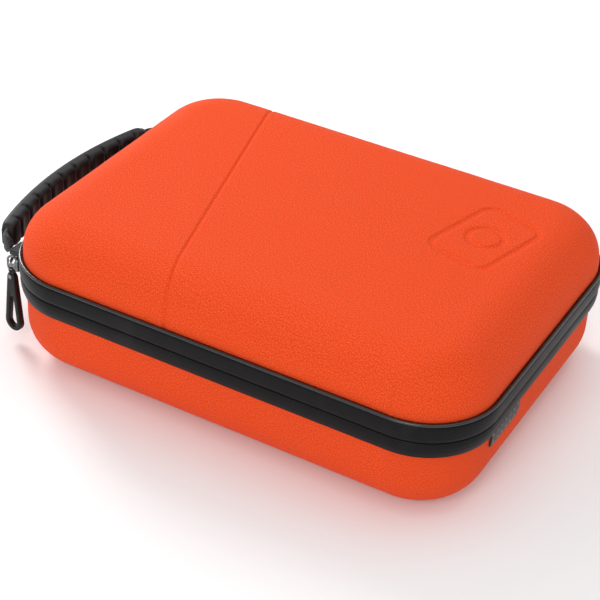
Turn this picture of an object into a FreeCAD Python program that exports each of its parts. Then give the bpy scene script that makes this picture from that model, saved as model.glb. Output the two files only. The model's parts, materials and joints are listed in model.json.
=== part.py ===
import FreeCAD, Part
import Sketcher
import math
import os

# Zip-around carry case for action cameras: two moulded foam shells with a laminated fabric
# skin, joined by a fabric spine along the back and by a zip on the other three sides.
# +X runs along the long side away from the handle, -Y is the front, +Z is up.
# The origin is the centre of the base's underside.

SIZES = [
    # outside
    ("case_length", 225.0), ("case_width", 168.0), ("case_height", 73.2),
    ("plan_corner", 33.0), ("seam_height", 42.0), ("seam_gap", 0.2),
    ("lid_inset", 1.9), ("base_inset", 2.8), ("lid_round", 20.0), ("base_round", 21.0),
    ("wall", 4.5), ("rim_gap", 1.4), ("lining", 0.8),
    ("groove_place", 45.4), ("groove_turn", 14.5), ("groove_breadth", 1.4), ("deboss", 0.6),
    ("badge_place_x", 70.0), ("badge_place_y", 22.0), ("badge_turn", -14.0), ("badge_length", 32.0),
    ("badge_width", 46.0), ("badge_corner", 7.0), ("badge_line", 2.6), ("badge_lens", 9.0),
    # zip belt
    ("upper_tape_height", 8.0), ("upper_tape", 1.8), ("lower_tape_height", 8.0),
    ("lower_tape_inset", 0.3), ("lower_tape", 2.4), ("piping_height", 1.4), ("piping_proud", 0.2),
    ("coil_height", 0.9), ("coil_depth", 0.8), ("coil_inset", 2.75),
    ("binding", 0.9), ("binding_inset", 3.6), ("binding_breadth", 3.6),
    ("spine_length", 144.0), ("spine_gap", 0.4), ("end_tab_length", 9.0), ("end_tab", 0.5),
    # contents
    ("insert_gap", 0.3), ("floor_pad", 2.0), ("insert_top", 38.0),
    ("camera_length", 66.0), ("camera_width", 48.0), ("cavity_depth", 28.0), ("cavity_corner", 4.0),
    ("tray_length", 102.0), ("tray_width", 66.0), ("slot_length", 18.0),
    ("mesh", 0.8), ("mesh_height", 47.5), ("hem_width", 6.0), ("hem", 1.6), ("hem_place", 58.0),
    ("pocket_binding_width", 4.0),
    # handle
    ("handle_centre", -5.0), ("handle_reach", 14.4), ("handle_sag", 8.2), ("grip_length", 107.0),
    ("grip_thickness", 7.0), ("grip_height", 12.0), ("grip_edge", 2.4), ("rib_pitch", 10.4),
    ("rib_depth", 1.0), ("rib_radius", 5.5), ("strap", 2.2), ("strap_height", 9.0),
    ("strap_root_height", 2.2), ("strap_bend", 4.0), ("root_span", 118.0), ("root_height", 48.0),
    ("root_stand", 2.6), ("root_clear", 1.9), ("ear_length", 10.0), ("ear_height", 2.4),
    # sliders and pulls
    ("slider_length", 11.0), ("slider_height", 8.2), ("slider_plate", 1.5), ("slider_clear", 0.4),
    ("bridge_reach", 3.6), ("bridge_width", 1.6), ("bridge_wire", 1.2), ("front_slider_turn", 22.0),
    ("rear_slider_place", -40.0), ("link_length", 8.1), ("link_radius", 1.25), ("link_wire", 1.1),
    ("pull_length", 31.0), ("pull_width", 9.4), ("pull_neck", 4.4), ("pull_thickness", 3.0),
    ("pull_wall", 2.3), ("pull_edge", 0.9), ("pull_gap", 0.5), ("front_pull_turn", 60.0),
    ("rivet_radius", 0.9), ("rivet_length", 4.0),
    # side tag
    ("tag_length", 28.0), ("tag_height", 7.0), ("tag", 0.7), ("tag_place", -36.0),
]

doc = FreeCAD.newDocument("CarryCase")
sheet = doc.addObject("Spreadsheet::Sheet", "Sizes")
for row, (alias, value) in enumerate(SIZES, start=1):
    sheet.set("A%d" % row, alias)
    sheet.set("B%d" % row, str(value))
    sheet.setAlias("B%d" % row, alias)
doc.recompute()

NODES = {}


# ---------------------------------------------------------------- helpers
def size(name):
    """The number in a sheet cell, for places that are worked out in this file."""
    return float(sheet.get(name))


def cells(formula):
    """Turns words such as <case_length> into references to the sheet."""
    return formula.replace("<", "Sizes.").replace(">", "")


def measure(formula):
    """The value of a formula on the sheet, worked out by the sheet itself."""
    sheet.set("D1", "=" + formula.replace("<", "").replace(">", ""))
    sheet.recompute()
    return float(sheet.get("D1"))


def node(name, thing):
    thing.Label = name
    NODES[name] = thing
    return thing


def origin_plane(body, role):
    return next(f for f in body.Origin.OriginFeatures if f.Role == role)


def new_sketch(body, height):
    sketch = body.newObject("Sketcher::SketchObject", body.Name + "_outline")
    sketch.AttachmentSupport = (origin_plane(body, "XY_Plane"), [""])
    sketch.MapMode = "FlatFace"
    sketch.setExpression("AttachmentOffset.Base.z", cells(height))
    return sketch


def rounded_rectangle(sketch, half_x, half_y, corner, centre=("0", "0"), tag="outline"):
    """A rectangle with round corners; its sizes and centre are formulas on the sheet."""
    x0, y0 = measure(centre[0]), measure(centre[1])
    hx, hy, r = measure(half_x), measure(half_y), measure(corner)
    first = sketch.GeometryCount
    for quarter, (sx, sy) in enumerate([(1, 1), (-1, 1), (-1, -1), (1, -1)]):
        middle = FreeCAD.Vector(x0 + sx * (hx - r), y0 + sy * (hy - r), 0)
        circle = Part.Circle(middle, FreeCAD.Vector(0, 0, 1), r)
        start = quarter * math.pi / 2
        sketch.addGeometry(Part.ArcOfCircle(circle, start, start + math.pi / 2), False)
    for quarter in range(4):
        begin = sketch.getPoint(first + quarter, 2)
        finish = sketch.getPoint(first + (quarter + 1) % 4, 1)
        sketch.addGeometry(Part.LineSegment(begin, finish), False)
    for quarter in range(4):
        line, following = first + 4 + quarter, first + (quarter + 1) % 4
        kind = "Horizontal" if quarter % 2 == 0 else "Vertical"
        sketch.addConstraint(Sketcher.Constraint("Tangent", first + quarter, 2, line, 1))
        sketch.addConstraint(Sketcher.Constraint("Tangent", line, 2, following, 1))
        sketch.addConstraint(Sketcher.Constraint(kind, line))
    for quarter in range(1, 4):
        sketch.addConstraint(Sketcher.Constraint("Equal", first, first + quarter))
    bound = [
        ("corner", ("Radius", first, r), corner),
        ("right", ("DistanceX", -1, 1, first + 7, 1, x0 + hx), "%s + (%s)" % (centre[0], half_x)),
        ("left", ("DistanceX", -1, 1, first + 5, 1, x0 - hx), "%s - (%s)" % (centre[0], half_x)),
        ("top", ("DistanceY", -1, 1, first + 4, 1, y0 + hy), "%s + (%s)" % (centre[1], half_y)),
        ("bottom", ("DistanceY", -1, 1, first + 6, 1, y0 - hy), "%s - (%s)" % (centre[1], half_y)),
    ]
    for name, constraint, formula in bound:
        index = sketch.addConstraint(Sketcher.Constraint(*constraint))
        sketch.renameConstraint(index, tag + "_" + name)
        sketch.setExpression("Constraints." + tag + "_" + name, cells(formula))


def pad(body, sketch, length):
    feature = body.newObject("PartDesign::Pad", body.Name + "_pad")
    feature.Profile = sketch
    feature.setExpression("Length", cells(length))
    doc.recompute()


def edges_at(shape, height):
    """Names of the edges that lie flat at one height."""
    names = []
    for number, edge in enumerate(shape.Edges, start=1):
        bounds = edge.BoundBox
        if abs(bounds.ZMin - height) < 1e-4 and abs(bounds.ZMax - height) < 1e-4:
            names.append("Edge%d" % number)
    return names


def round_edges(body, height, radius):
    base = body.Tip
    feature = body.newObject("PartDesign::Fillet", body.Name + "_round")
    feature.Base = (base, edges_at(base.Shape, measure(height)))
    feature.setExpression("Radius", cells(radius))
    doc.recompute()


def slab(name, inset, low, high, top_round=None, bottom_round=None):
    """The case's plan outline, set in by inset, between two heights."""
    body = doc.addObject("PartDesign::Body", name)
    sketch = new_sketch(body, low)
    rounded_rectangle(sketch, "<case_length> / 2 - (%s)" % inset,
                      "<case_width> / 2 - (%s)" % inset, "<plan_corner> - (%s)" % inset)
    pad(body, sketch, "%s - (%s)" % (high, low))
    if top_round:
        round_edges(body, high, top_round)
    if bottom_round:
        round_edges(body, low, bottom_round)
    return body


def box(name, low, high):
    """A block between two corners that are formulas on the sheet."""
    thing = doc.addObject("Part::Box", name)
    for side, axis, a, b in zip(("Length", "Width", "Height"), "xyz", low, high):
        thing.setExpression(side, cells("(%s) - (%s)" % (b, a)))
        thing.setExpression("Placement.Base." + axis, cells(a))
    return thing


def combine(kind, name, base, tool):
    thing = doc.addObject("Part::" + kind, name)
    thing.Base, thing.Tool = base, tool
    doc.recompute()
    return thing


def ring(name, inset, depth, low, high):
    """A band that follows the plan outline; depth is how far it goes inwards."""
    hole = slab(name + "_hole", "%s + %s" % (inset, depth), low + " - 1", high + " + 1")
    return combine("Cut", name, slab(name + "_whole", inset, low, high), hole)


def back_stretch(name, half):
    """The straight stretch of the back wall where the spine is."""
    return box(name, ("-(%s)" % half, "0", "0"), (half, "<case_width>", "<case_height>"))


def open_ring(name, inset, depth, low, high):
    """A band that stops at the spine."""
    gap = back_stretch(name + "_gap", "<spine_length> / 2")
    node(name, combine("Cut", name, ring(name + "_ring", inset, depth, low, high), gap))


def spine_strip(name, inset, depth, low, high):
    kept = back_stretch(name + "_stretch", "<spine_length> / 2 - <spine_gap>")
    node(name, combine("Common", name, ring(name + "_ring", inset, depth, low, high), kept))


# ---------------------------------------------------------------- heights and insets
LID_RIM = "<seam_height> + <rim_gap>"
BASE_RIM = "<seam_height> - <rim_gap>"
UPPER_LOW = "<seam_height> + <seam_gap>"
UPPER_HIGH = "<seam_height> + <upper_tape_height>"
LOWER_LOW = "<seam_height> - <lower_tape_height>"
LOWER_HIGH = "<seam_height> - <seam_gap>"
PIPING_LOW = UPPER_HIGH + " + 0.1"
INNER_LID = "<lid_inset> + <wall>"
INNER_BASE = "<base_inset> + <wall>"
FLOOR = "<wall> + <lining>"
EVERYWHERE = ("<case_length>", "<case_width>", "<case_height>")


# ---------------------------------------------------------------- shells and linings
def make_badge_tool():
    """A plain pictogram of a camera, pressed into the lid: a frame and a ring."""
    floor = "<case_height> - <deboss>"
    frame = doc.addObject("PartDesign::Body", "badge_frame")
    sketch = new_sketch(frame, floor)
    rounded_rectangle(sketch, "<badge_length> / 2", "<badge_width> / 2", "<badge_corner>",
                      tag="outside")
    rounded_rectangle(sketch, "<badge_length> / 2 - <badge_line>",
                      "<badge_width> / 2 - <badge_line>", "<badge_corner> - <badge_line>",
                      tag="inside")
    pad(frame, sketch, "<deboss> + 1")
    discs = []
    for name, radius in (("lens_rim", "<badge_lens>"), ("lens_glass", "<badge_lens> - <badge_line>")):
        disc = doc.addObject("Part::Cylinder", name)
        disc.setExpression("Radius", cells(radius))
        disc.setExpression("Height", cells("<deboss> + 1"))
        disc.setExpression("Placement.Base.z", cells(floor))
        discs.append(disc)
    badge = combine("Fuse", "badge", frame, combine("Cut", "badge_lens_ring", *discs))
    badge.setExpression("Placement.Base.x", cells("<badge_place_x>"))
    badge.setExpression("Placement.Base.y", cells("<badge_place_y>"))
    badge.setExpression("Placement.Rotation.Angle", cells("<badge_turn>"))
    return badge


def make_lid_shell():
    outer = slab("lid_outer", "<lid_inset>", LID_RIM, "<case_height>", "<lid_round>")
    hollow = slab("lid_hollow", INNER_LID, LID_RIM + " - 1", "<case_height> - <wall>",
                  "<lid_round> - <wall>")
    line = box("groove_line", ("0", "0", "0"), ("<groove_breadth>", "2 * <case_width>",
                                                "<case_height> + 1"))
    line.setExpression("Placement.Base.x", cells(
        "-<groove_place> + <case_width> * sin(<groove_turn>) - <groove_breadth> / 2"))
    line.setExpression("Placement.Base.y", cells("-<case_width> * cos(<groove_turn>)"))
    line.setExpression("Placement.Rotation.Angle", cells("<groove_turn>"))
    kept = slab("groove_floor", "<lid_inset> + <deboss>", "0", "<case_height> - <deboss>",
                "<lid_round> - <deboss>")
    shell = combine("Cut", "lid_cup", outer, hollow)
    shell = combine("Cut", "lid_grooved", shell, combine("Cut", "groove", line, kept))
    node("lid_shell", combine("Cut", "lid_shell", shell, make_badge_tool()))


def make_base_shell():
    outer = slab("base_outer", "<base_inset>", "0", BASE_RIM, None, "<base_round>")
    hollow = slab("base_hollow", INNER_BASE, "<wall>", BASE_RIM + " + 1", None,
                  "<base_round> - <wall>")
    node("base_shell", combine("Cut", "base_shell", outer, hollow))


def make_linings():
    roof = "<case_height> - <wall>"
    skin = slab("lid_skin", INNER_LID, LID_RIM, roof, "<lid_round> - <wall>")
    room = slab("lid_room", INNER_LID + " + <lining>", LID_RIM + " - 1", roof + " - <lining>",
                "<lid_round> - <wall> - <lining>")
    node("lid_lining", combine("Cut", "lid_lining", skin, room))
    skin = slab("base_skin", INNER_BASE, "<wall>", BASE_RIM, None, "<base_round> - <wall>")
    room = slab("base_room", INNER_BASE + " + <lining>", FLOOR, BASE_RIM + " + 1", None,
                "<base_round> - <wall> - <lining>")
    node("base_lining", combine("Cut", "base_lining", skin, room))


# ---------------------------------------------------------------- zip belt
def make_belt():
    open_ring("zip_tape_upper", "0", "<upper_tape>", UPPER_LOW, UPPER_HIGH)
    open_ring("zip_tape_lower", "<lower_tape_inset>", "<lower_tape>", LOWER_LOW, LOWER_HIGH)
    open_ring("zip_coil_upper", "<coil_inset>", "<coil_depth>", UPPER_LOW,
              UPPER_LOW + " + <coil_height>")
    open_ring("zip_coil_lower", "<coil_inset>", "<coil_depth>", LOWER_HIGH + " - <coil_height>",
              LOWER_HIGH)
    spine_strip("spine_upper", "0", "<upper_tape>", UPPER_LOW, UPPER_HIGH)
    spine_strip("spine_lower", "<lower_tape_inset>", "<lower_tape>", LOWER_LOW, LOWER_HIGH)
    for name, inset, depth, low, high in (
            ("lid_piping", "-<piping_proud>", "<lid_inset> + <piping_proud>", PIPING_LOW,
             PIPING_LOW + " + <piping_height>"),
            ("lid_rim_binding", "<binding_inset>", "<binding_breadth>", LID_RIM + " - <binding>",
             LID_RIM),
            ("base_rim_binding", "<binding_inset>", "<binding_breadth>", BASE_RIM,
             BASE_RIM + " + <binding>")):
        node(name, ring(name, inset, depth, low, high))
    back = "<case_width> / 2 - <lower_tape_inset>"
    for side, name in (("-", "zip_end_tab_left"), ("", "zip_end_tab_right")):
        middle = side + "(<spine_length> / 2 + <end_tab_length> / 2 - 1)"
        node(name, box(name, (middle + " - <end_tab_length> / 2", back, LOWER_LOW + " + 0.8"),
                       (middle + " + <end_tab_length> / 2", back + " + <end_tab>", LOWER_HIGH)))


def make_tag():
    """Woven tag on the right end, with its upper edge sewn in under the lower tape."""
    wall = "<case_length> / 2 - <base_inset>"
    top = LOWER_LOW + " - 0.1"
    node("side_tag", box("side_tag", (wall, "<tag_place> - <tag_length> / 2", top + " - <tag_height>"),
                         (wall + " + <tag>", "<tag_place> + <tag_length> / 2", top)))


# ---------------------------------------------------------------- contents
def make_insert():
    """Foam block with cavities, on a thin pad; both follow the rounded floor."""
    block = slab("insert_block", INNER_BASE + " + <lining> + <insert_gap>", FLOOR, "<insert_top>",
                 None, "<base_round> - <wall> - <lining>")
    split = FLOOR + " + <floor_pad>"
    below = box("pad_space", ("-<case_length>", "-<case_width>", "0"), EVERYWHERE[:2] + (split,))
    node("floor_pad", combine("Common", "floor_pad", block, below))
    cavities = doc.addObject("PartDesign::Body", "cavities")
    sketch = new_sketch(cavities, "<insert_top> - <cavity_depth>")
    camera, slot = "<camera_length> / 2", "<slot_length> / 2"
    front, back = "<camera_width> / 2", "<tray_width> / 2"
    for tag, half_x, half_y, centre in (
            ("camera_one", camera, front, ("-56", "-42")),
            ("camera_two", camera, front, ("17", "-42")),
            ("lens_well", camera + " / 2", front, ("75", "-42")),
            ("tray", "<tray_length> / 2", back, ("-41", "28")),
            ("slot_one", slot, back, ("31", "28")),
            ("slot_two", slot, back, ("56", "28")),
            ("slot_three", slot, back, ("81", "28"))):
        rounded_rectangle(sketch, half_x, half_y, "<cavity_corner>", centre, tag)
    pad(cavities, sketch, "<cavity_depth> + 1")
    above = combine("Cut", "insert_upper", block, below)
    node("foam_insert", combine("Cut", "foam_insert", above, cavities))


def make_mesh_pocket():
    inset = INNER_LID + " + <lining>"
    hem_front = "-<hem_place> - <hem_width>"
    panel = slab("mesh_slab", inset, "<mesh_height>", "<mesh_height> + <mesh>")
    hem = slab("hem_slab", inset, "<mesh_height> - <hem> / 4", "<mesh_height> + <hem> * 3 / 4")
    edge = ring("pocket_edge", inset, "<pocket_binding_width>", "<mesh_height> - <binding>",
                "<mesh_height>")
    for name, sheet_shape, front, back in (
            ("mesh_pocket", panel, "-<hem_place>", "<case_width>"),
            ("pocket_hem", hem, hem_front, "-<hem_place>"),
            ("pocket_binding", edge, "-<hem_place>", "<case_width>")):
        stretch = box(name + "_stretch", ("-<case_length>", front, "0"),
                      ("<case_length>", back, "<case_height>"))
        node(name, combine("Common", name, sheet_shape, stretch))


# ---------------------------------------------------------------- handle
# The handle is drawn flat, +X outwards from the line through its roots and +Y along it.
def root_x():
    return -size("case_length") / 2 - size("root_stand")


def handle_placement():
    turn = FreeCAD.Rotation(FreeCAD.Vector(0, 0, 1), 180)
    return FreeCAD.Placement(FreeCAD.Vector(root_x(), size("handle_centre"), size("root_height")),
                             turn)


def handle_arc():
    """Radius of the grip's middle line and the x of its centre."""
    half, sag = size("grip_length") / 2, size("handle_sag")
    radius = (half ** 2 + sag ** 2) / (2 * sag)
    return radius, size("handle_reach") - radius


def arc_point(radius, angle):
    return FreeCAD.Vector(handle_arc()[1] + radius * math.cos(angle), radius * math.sin(angle), 0)


def upright(face, height):
    """Extrudes a flat face to a height that is centred on it."""
    solid = face.extrude(FreeCAD.Vector(0, 0, height))
    solid.translate(FreeCAD.Vector(0, 0, -height / 2))
    return solid


def curved_bar(thickness, height, length):
    radius = handle_arc()[0]
    angle = math.asin(length / 2 / radius)
    inner, outer = radius - thickness / 2, radius + thickness / 2
    a, b = arc_point(inner, -angle), arc_point(outer, -angle)
    c, d = arc_point(outer, angle), arc_point(inner, angle)
    wire = Part.Wire([Part.makeLine(a, b), Part.Arc(b, arc_point(outer, 0), c).toShape(),
                      Part.makeLine(c, d), Part.Arc(d, arc_point(inner, 0), a).toShape()])
    return upright(Part.Face(wire), height)


def strap_path():
    """Middle line of the webbing: root, bend, the grip's arc, bend, root."""
    radius = handle_arc()[0]
    angle = math.asin(size("grip_length") / 2 / radius)
    end = arc_point(radius, angle)
    along = FreeCAD.Vector(-math.sin(angle), math.cos(angle), 0)
    root = FreeCAD.Vector(0, size("root_span") / 2, 0)
    knee = end + along * ((root.y - end.y) / along.y * 0.8)
    into, out = (end - knee).normalize(), (root - knee).normalize()
    opening = into.getAngle(out)
    reach = min(size("strap_bend") / math.tan(opening / 2), 0.9 * (end - knee).Length)
    bend = reach * math.tan(opening / 2)
    first, last = knee + into * reach, knee + out * reach
    depth = bend / math.sin(opening / 2) - bend
    middle = knee + (into + out).normalize() * depth
    half = [Part.Arc(arc_point(radius, 0), arc_point(radius, angle / 2), end).toShape(),
            Part.makeLine(end, first), Part.Arc(first, middle, last).toShape(),
            Part.makeLine(last, root)]
    return Part.Wire(half)


def webbing_solid():
    """Half the webbing on each side of the middle, gathered towards its roots."""
    thickness, full, root_high = size("strap"), size("strap_height"), size("strap_root_height")
    outline = strap_path().makeOffset2D(thickness / 2, 0, False, False, False)
    half = upright(Part.Face(outline), full)
    keep = Part.makeBox(200, 200, 60, FreeCAD.Vector(-100, 0, -30))
    half = half.common(keep)
    whole = half.fuse(half.mirror(FreeCAD.Vector(0, 0, 0), FreeCAD.Vector(0, 1, 0)))
    reach = size("handle_reach") - size("handle_sag")
    upper = [(-3, root_high / 2), (0, root_high / 2), (reach, full / 2), (60, full / 2)]
    corners = [FreeCAD.Vector(x, -200, z) for x, z in upper]
    corners += [FreeCAD.Vector(x, -200, -z) for x, z in reversed(upper)]
    side = Part.Face(Part.makePolygon(corners + corners[:1]))
    return whole.common(side.extrude(FreeCAD.Vector(0, 400, 0))).removeSplitter()


def grip_solid():
    bar = curved_bar(size("grip_thickness"), size("grip_height"), size("grip_length"))
    bar = bar.makeFillet(size("grip_edge"), bar.Edges)
    inner = handle_arc()[0] - size("grip_thickness") / 2
    step = size("rib_pitch") / inner
    count = int(size("grip_length") / size("rib_pitch")) - 1
    away = inner - size("rib_radius") + size("rib_depth")
    height = 2 * size("grip_height")
    for number in range(count):
        foot = arc_point(away, (number - (count - 1) / 2) * step) - FreeCAD.Vector(0, 0, height / 2)
        bar = bar.cut(Part.makeCylinder(size("rib_radius"), height, foot))
    return bar.cut(curved_bar(size("strap"), size("strap_height"), size("grip_length") + 20))


def make_handle():
    for name, solid in (("handle_webbing", webbing_solid()), ("handle_grip", grip_solid())):
        thing = doc.addObject("Part::Feature", name)
        thing.Shape = solid
        thing.Placement = handle_placement()
        node(name, thing)
    # the ears that the webbing's ends are sewn to stand out of the tape under the piping
    for side, name in (("-", "handle_ear_front"), ("+", "handle_ear_back")):
        middle = "<handle_centre> %s <root_span> / 2" % side
        block = box(name + "_block",
                    ("-<case_length> / 2 - <root_stand> + <root_clear>",
                     middle + " - <ear_length> / 2", "<root_height> - <ear_height> / 2"),
                    ("-<case_length> / 2 + 8", middle + " + <ear_length> / 2",
                     "<root_height> + <ear_height> / 2"))
        node(name, combine("Cut", name, block, slab(name + "_wall", "-0.05", "0", "<case_height>")))


# ---------------------------------------------------------------- sliders and pulls
# A slider is drawn with +X outwards from the tape, +Y along the zip and z = 0 at the seam.
def slider_solid():
    length, tall, plate = size("slider_length"), size("slider_height"), size("slider_plate")
    clear, reach, wire = size("slider_clear"), size("bridge_reach"), size("bridge_wire")
    body = Part.makeBox(plate, length, tall, FreeCAD.Vector(clear, -length / 2, -tall / 2))
    body = body.makeFillet(tall / 3, [e for e in body.Edges if e.BoundBox.XLength > plate / 2])
    face, width, span = clear + plate - 0.2, size("bridge_width"), length * 0.8
    bridge = Part.makeBox(reach, span, width, FreeCAD.Vector(face, -span / 2, -width / 2))
    far = [e for e in bridge.Edges if e.BoundBox.ZLength > width / 2 and e.BoundBox.XMin > face + 0.1]
    bridge = bridge.makeFillet(reach * 0.5, far)
    window = Part.makeBox(reach - wire, span - 2 * wire, 2 * width,
                          FreeCAD.Vector(face, wire - span / 2, -width))
    return body.fuse(bridge.cut(window)).removeSplitter()


def link_x():
    """How far out the middle of the bridge's outer bar is; the link hangs round that bar."""
    face = size("slider_clear") + size("slider_plate") - 0.2
    return face + size("bridge_reach") - size("bridge_wire") / 2


def link_solid():
    """A wire loop round the bridge's bar, in the plane across the zip."""
    inner, wire = size("link_radius"), size("link_wire")
    foot = 2 * (inner + wire) - size("link_length")

    def filled_loop(radius):
        loop = loop_face(radius, radius, 0, foot).extrude(FreeCAD.Vector(wire, 0, 0))
        loop.translate(FreeCAD.Vector(-wire / 2, 0, 0))
        loop.rotate(FreeCAD.Vector(0, 0, 0), FreeCAD.Vector(0, 0, 1), 90)
        loop.translate(FreeCAD.Vector(link_x(), 0, 0))
        return loop

    return filled_loop(inner + wire).cut(filled_loop(inner))


def link_bottom():
    return size("link_radius") + size("link_wire") - size("link_length")


def loop_face(top_radius, bottom_radius, top_z, bottom_z):
    """Two circles on the Z axis, one above the other, with the tangents between them."""
    lean = math.asin((bottom_radius - top_radius) / (top_z - bottom_z))
    cosine, sine = math.cos(lean), math.sin(lean)

    def at(radius, z, side):
        return FreeCAD.Vector(0, side * radius * cosine, z + radius * sine)

    a, b = at(top_radius, top_z, -1), at(top_radius, top_z, 1)
    c, d = at(bottom_radius, bottom_z, 1), at(bottom_radius, bottom_z, -1)
    crown = FreeCAD.Vector(0, 0, top_z + top_radius)
    foot = FreeCAD.Vector(0, 0, bottom_z - bottom_radius)
    return Part.Face(Part.Wire([Part.Arc(a, crown, b).toShape(), Part.makeLine(b, c),
                                Part.Arc(c, foot, d).toShape(), Part.makeLine(d, a)]))


def pull_solid():
    """A long rubber loop, narrow at the top and wider below, with its top at z = 0."""
    length, neck, width = size("pull_length"), size("pull_neck") / 2, size("pull_width") / 2
    wall, thick = size("pull_wall"), size("pull_thickness")
    out = FreeCAD.Vector(thick, 0, 0)
    body = loop_face(neck, width, -neck, width - length).extrude(out)
    hole = loop_face(neck * 0.45, width - wall, -length * 0.45, width - length).extrude(out * 3)
    hole.translate(-out)
    body = body.cut(hole)
    body.translate(-out / 2)
    body = body.makeFillet(size("pull_edge"), [e for e in body.Edges if e.BoundBox.XLength < 1e-4])
    bore = Part.makeCylinder(size("rivet_radius") + 0.02, 2 * thick,
                             FreeCAD.Vector(-thick, 0, -neck), FreeCAD.Vector(1, 0, 0))
    return body.cut(bore)


def rivet_solid():
    long = size("rivet_length")
    return Part.makeCylinder(size("rivet_radius"), long,
                             FreeCAD.Vector(-long / 2, 0, -size("pull_neck") / 2),
                             FreeCAD.Vector(1, 0, 0))


def make_slider(prefix, placement, pull_turn):
    top = FreeCAD.Vector(link_x(), 0, link_bottom() - size("pull_gap"))
    hang = FreeCAD.Placement(top, FreeCAD.Rotation(FreeCAD.Vector(0, 0, 1), pull_turn))
    hanging = placement.multiply(hang)
    for name, solid, place in ((prefix + "_slider", slider_solid(), placement),
                               (prefix + "_link", link_solid(), placement),
                               (prefix + "_pull", pull_solid(), hanging),
                               (prefix + "_rivet", rivet_solid(), hanging)):
        thing = doc.addObject("Part::Feature", name)
        thing.Shape = solid
        thing.Placement = place
        node(name, thing)


def make_sliders():
    upward = FreeCAD.Vector(0, 0, 1)
    half_x, half_y = size("case_length") / 2, size("case_width") / 2
    corner, seam = size("plan_corner"), size("seam_height")
    rear = FreeCAD.Placement(FreeCAD.Vector(-half_x, size("rear_slider_place"), seam),
                             FreeCAD.Rotation(upward, 180))
    make_slider("rear", rear, 0)
    turn = 180 + size("front_slider_turn")
    lean = math.radians(turn)
    place = FreeCAD.Vector(corner - half_x + corner * math.cos(lean),
                           corner - half_y + corner * math.sin(lean), seam)
    make_slider("front", FreeCAD.Placement(place, FreeCAD.Rotation(upward, turn)),
                size("front_pull_turn"))


# ---------------------------------------------------------------- build, check, write
def check_document():
    bad = [o.Name for o in doc.Objects if "Invalid" in o.State or "Error" in o.State]
    if bad:
        raise SystemExit("failed objects: " + ", ".join(bad))
    for name, thing in NODES.items():
        shape = thing.Shape
        if shape.isNull() or not shape.isValid() or not shape.Solids:
            raise SystemExit("bad shape: " + name)


make_lid_shell()
make_base_shell()
make_linings()
make_belt()
make_tag()
make_insert()
make_mesh_pocket()
make_handle()
make_sliders()
doc.recompute()
check_document()
os.makedirs("parts", exist_ok=True)
for label, item in NODES.items():
    item.Shape.exportStep("parts/%s.step" % label)
    print("%-18s %9.0f mm3  solids %d" % (label, item.Shape.Volume, len(item.Shape.Solids)))
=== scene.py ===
import json
import math

import bmesh
import bpy
import numpy as np
from mathutils import Matrix, Vector, noise


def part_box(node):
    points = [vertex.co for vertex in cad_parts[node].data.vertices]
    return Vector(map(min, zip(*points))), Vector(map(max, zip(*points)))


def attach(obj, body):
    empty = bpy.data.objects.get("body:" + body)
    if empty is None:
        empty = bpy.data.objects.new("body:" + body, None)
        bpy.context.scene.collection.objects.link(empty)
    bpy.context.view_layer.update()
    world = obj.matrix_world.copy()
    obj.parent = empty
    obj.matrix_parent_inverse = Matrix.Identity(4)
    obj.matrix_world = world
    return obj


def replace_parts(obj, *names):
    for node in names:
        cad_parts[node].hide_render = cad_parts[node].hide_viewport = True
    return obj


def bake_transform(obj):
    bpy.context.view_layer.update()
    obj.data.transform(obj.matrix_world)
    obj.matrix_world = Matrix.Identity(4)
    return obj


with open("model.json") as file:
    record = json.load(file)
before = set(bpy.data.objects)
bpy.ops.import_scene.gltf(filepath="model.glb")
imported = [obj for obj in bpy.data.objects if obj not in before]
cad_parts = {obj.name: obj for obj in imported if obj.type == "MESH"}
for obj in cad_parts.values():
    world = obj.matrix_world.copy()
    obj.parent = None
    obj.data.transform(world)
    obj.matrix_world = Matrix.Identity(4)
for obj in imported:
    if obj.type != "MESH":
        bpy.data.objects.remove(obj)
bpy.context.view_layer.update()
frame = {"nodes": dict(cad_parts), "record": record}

# ------------------------------------------------------------------ sizes, in metres
MM = 0.001
PLAN_CORNER = 33 * MM
TAPE_LOW, TAPE_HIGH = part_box("zip_tape_upper")
LOWER_LOW, LOWER_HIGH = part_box("zip_tape_lower")
LID_LOW, LID_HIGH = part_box("lid_shell")
BASE_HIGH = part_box("base_shell")[1]
HALF_X, HALF_Y = TAPE_HIGH.x, -TAPE_LOW.y
SEAM = (TAPE_LOW.z + LOWER_HIGH.z) / 2
SPINE_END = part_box("spine_upper")[1].x
LID_INSET = HALF_X - LID_HIGH.x
BASE_INSET = HALF_X - BASE_HIGH.x
WALL = 4.5 * MM
LINING = 0.8 * MM
GROOVE_X, GROOVE_TURN, DEBOSS = 45.4 * MM, 14.5, 0.6 * MM
BADGE_X, BADGE_Y, BADGE_TURN = 70 * MM, 22 * MM, -14.0
BADGE_LENGTH, BADGE_WIDTH, BADGE_CORNER = 32 * MM, 46 * MM, 7 * MM
BADGE_LINE, BADGE_LENS, BADGE_CELL = 2.6 * MM, 9 * MM, 0.55 * MM
LID_ROUND, BASE_ROUND, CROWN, EDGE_REACH, EDGE_POWER = 20 * MM, 21 * MM, 0.6 * MM, 22.5 * MM, 2.1
GRIP_LENGTH, GRIP_SAG, HANDLE_REACH, RIB_PITCH = 107 * MM, 8.2 * MM, 14.4 * MM, 10.4 * MM
GRIP_HALF_THICK, GRIP_HALF_HEIGHT, GRIP_CORNER = 3.5 * MM, 6 * MM, 2.2 * MM
ROOT_SPAN, STRAP_HEIGHT, STRAP_ROOT, STRAP_ROOT_HEAD = 118 * MM, 9 * MM, 2.2 * MM, 3 * MM
STRAP_HALF_THICK, STRAP_RIBS, STRAP_RIB_DEPTH = 1 * MM, 6, 0.16 * MM
SLIDER_LENGTH, SLIDER_HEIGHT, COLLAR_RADIUS = 11 * MM, 8.2 * MM, 1.25 * MM
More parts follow.
